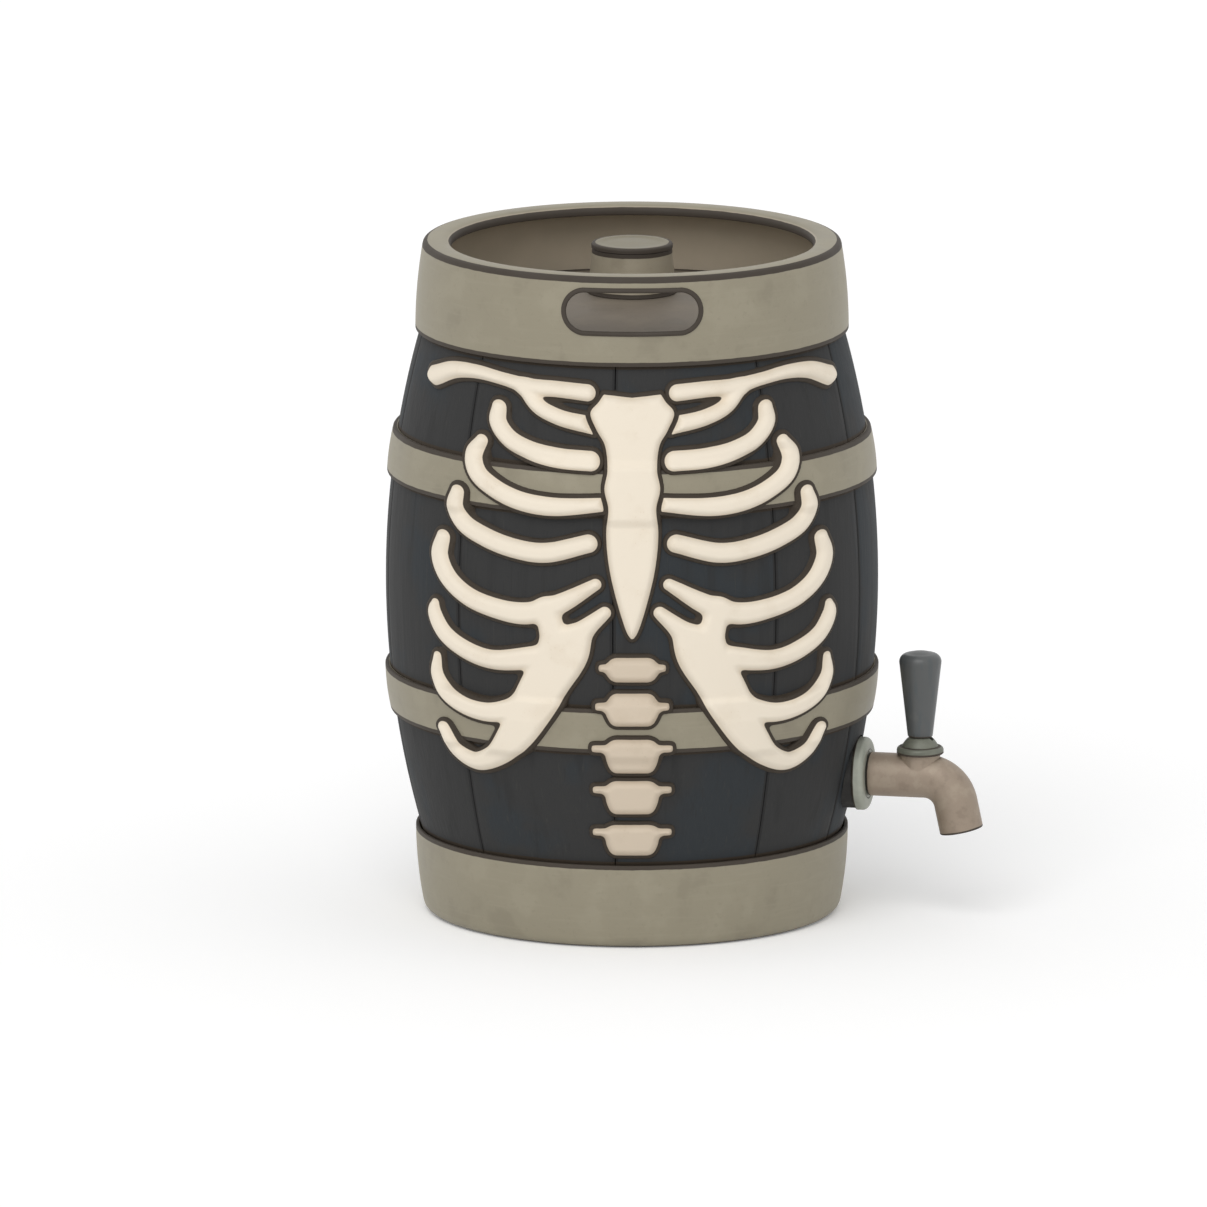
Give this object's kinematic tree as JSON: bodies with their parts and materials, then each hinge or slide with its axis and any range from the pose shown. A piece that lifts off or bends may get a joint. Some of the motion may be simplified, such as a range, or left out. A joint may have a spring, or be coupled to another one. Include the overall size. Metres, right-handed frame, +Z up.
{
  "type": "keg with tap",
  "caption": "Steel keg in a bulging jacket of painted staves, with hoops, rolled chimes, a capped neck valve, a side tap with a swinging handle and a moulded rib cage on its front.",
  "frame": {"origin": "on the floor, under the middle of the bounding box of the keg and its tap together", "axes": "+Z up along the barrel's axis, +X towards the side with the tap, -Y towards the front with the rib cage"},
  "size_m": [0.5217, 0.4416, 0.594],
  "materials": {
    "painted_stave": "satin charcoal paint over wood grain",
    "aged_steel": "satin, khaki grey",
    "inner_steel": "dull, darker grey",
    "stainless": "turned stainless steel",
    "black_rubber": "matte",
    "pewter_metal": "satin, pewter green",
    "bronze_metal": "satin, taupe bronze",
    "handle_resin": "semi-gloss, slate grey",
    "bone_resin": "matte cream",
    "darker_bone_resin": "matte tan"
  },
  "bodies": {
    "keg": {"stave_1": "painted_stave", "stave_2": "painted_stave", "stave_3": "painted_stave", "stave_4": "painted_stave", "stave_5": "painted_stave", "stave_6": "painted_stave", "stave_7": "painted_stave", "stave_8": "painted_stave", "stave_9": "painted_stave", "stave_10": "painted_stave", "hoop_upper": "aged_steel", "hoop_lower": "aged_steel", "rivet_upper_left": "aged_steel", "rivet_upper_right": "aged_steel", "rivet_lower_left": "aged_steel", "rivet_lower_right": "aged_steel", "chime_top": "aged_steel", "rim_top": "aged_steel", "chime_bottom": "aged_steel", "rim_bottom": "aged_steel", "vessel_shell_upper": "inner_steel", "vessel_shell_lower": "inner_steel", "top_head": "inner_steel", "bottom_head": "inner_steel", "neck_collar": "inner_steel", "valve_body": "stainless", "valve_spring": "stainless", "spear_tube": "stainless", "neck_seal": "black_rubber", "retaining_ring": "stainless", "tap_shank": "stainless", "shank_lock_nut": "stainless", "inner_gasket": "black_rubber", "wall_gasket": "black_rubber", "tap_flange": "pewter_metal", "faucet_body": "bronze_metal", "friction_washer": "black_rubber", "bonnet": "pewter_metal", "sternum": "bone_resin", "clavicle_left": "bone_resin", "clavicle_right": "bone_resin", "rib_2_left": "bone_resin", "rib_2_right": "bone_resin", "rib_3_left": "bone_resin", "rib_3_right": "bone_resin", "rib_4_left": "bone_resin", "rib_4_right": "bone_resin", "lower_ribs_left": "bone_resin", "lower_ribs_right": "bone_resin", "vertebra_1": "darker_bone_resin", "vertebra_2": "darker_bone_resin", "vertebra_3": "darker_bone_resin", "vertebra_4": "darker_bone_resin", "vertebra_5": "darker_bone_resin"},
    "handle": {"lever": "stainless", "tap_handle": "handle_resin"},
    "plunger": {"plunger": "stainless", "seat_washer": "black_rubber"},
    "poppet": {"valve_poppet": "black_rubber"},
    "cap": {"neck_cap": "aged_steel"}
  },
  "joints": [
    {"name": "handle_swing", "type": "hinge", "parent": "keg", "child": "handle", "pos_m": [0.20417, -0.05124, 0.1476], "axis": [0.2079, 0.9781, 0], "range_deg": [0, 30]},
    {"name": "plunger_travel", "type": "slide", "parent": "keg", "child": "plunger", "axis": [-0.9781, 0.2079, 0], "range_m": [0, 0.0079]},
    {"name": "poppet_travel", "type": "slide", "parent": "keg", "child": "poppet", "axis": [0, 0, 1], "range_m": [-0.008, 0], "stiffness_N_per_m": 800, "springref_m": 0.006, "deforming": ["valve_spring"]},
    {"name": "cap_lift", "type": "slide", "parent": "keg", "child": "cap", "axis": [0, 0, 1], "range_m": [0, 0.03]}
  ],
  "couplings": [
    {"joint": "plunger_travel", "follows": "handle_swing", "m_per_rad": 0.0149}
  ]
}
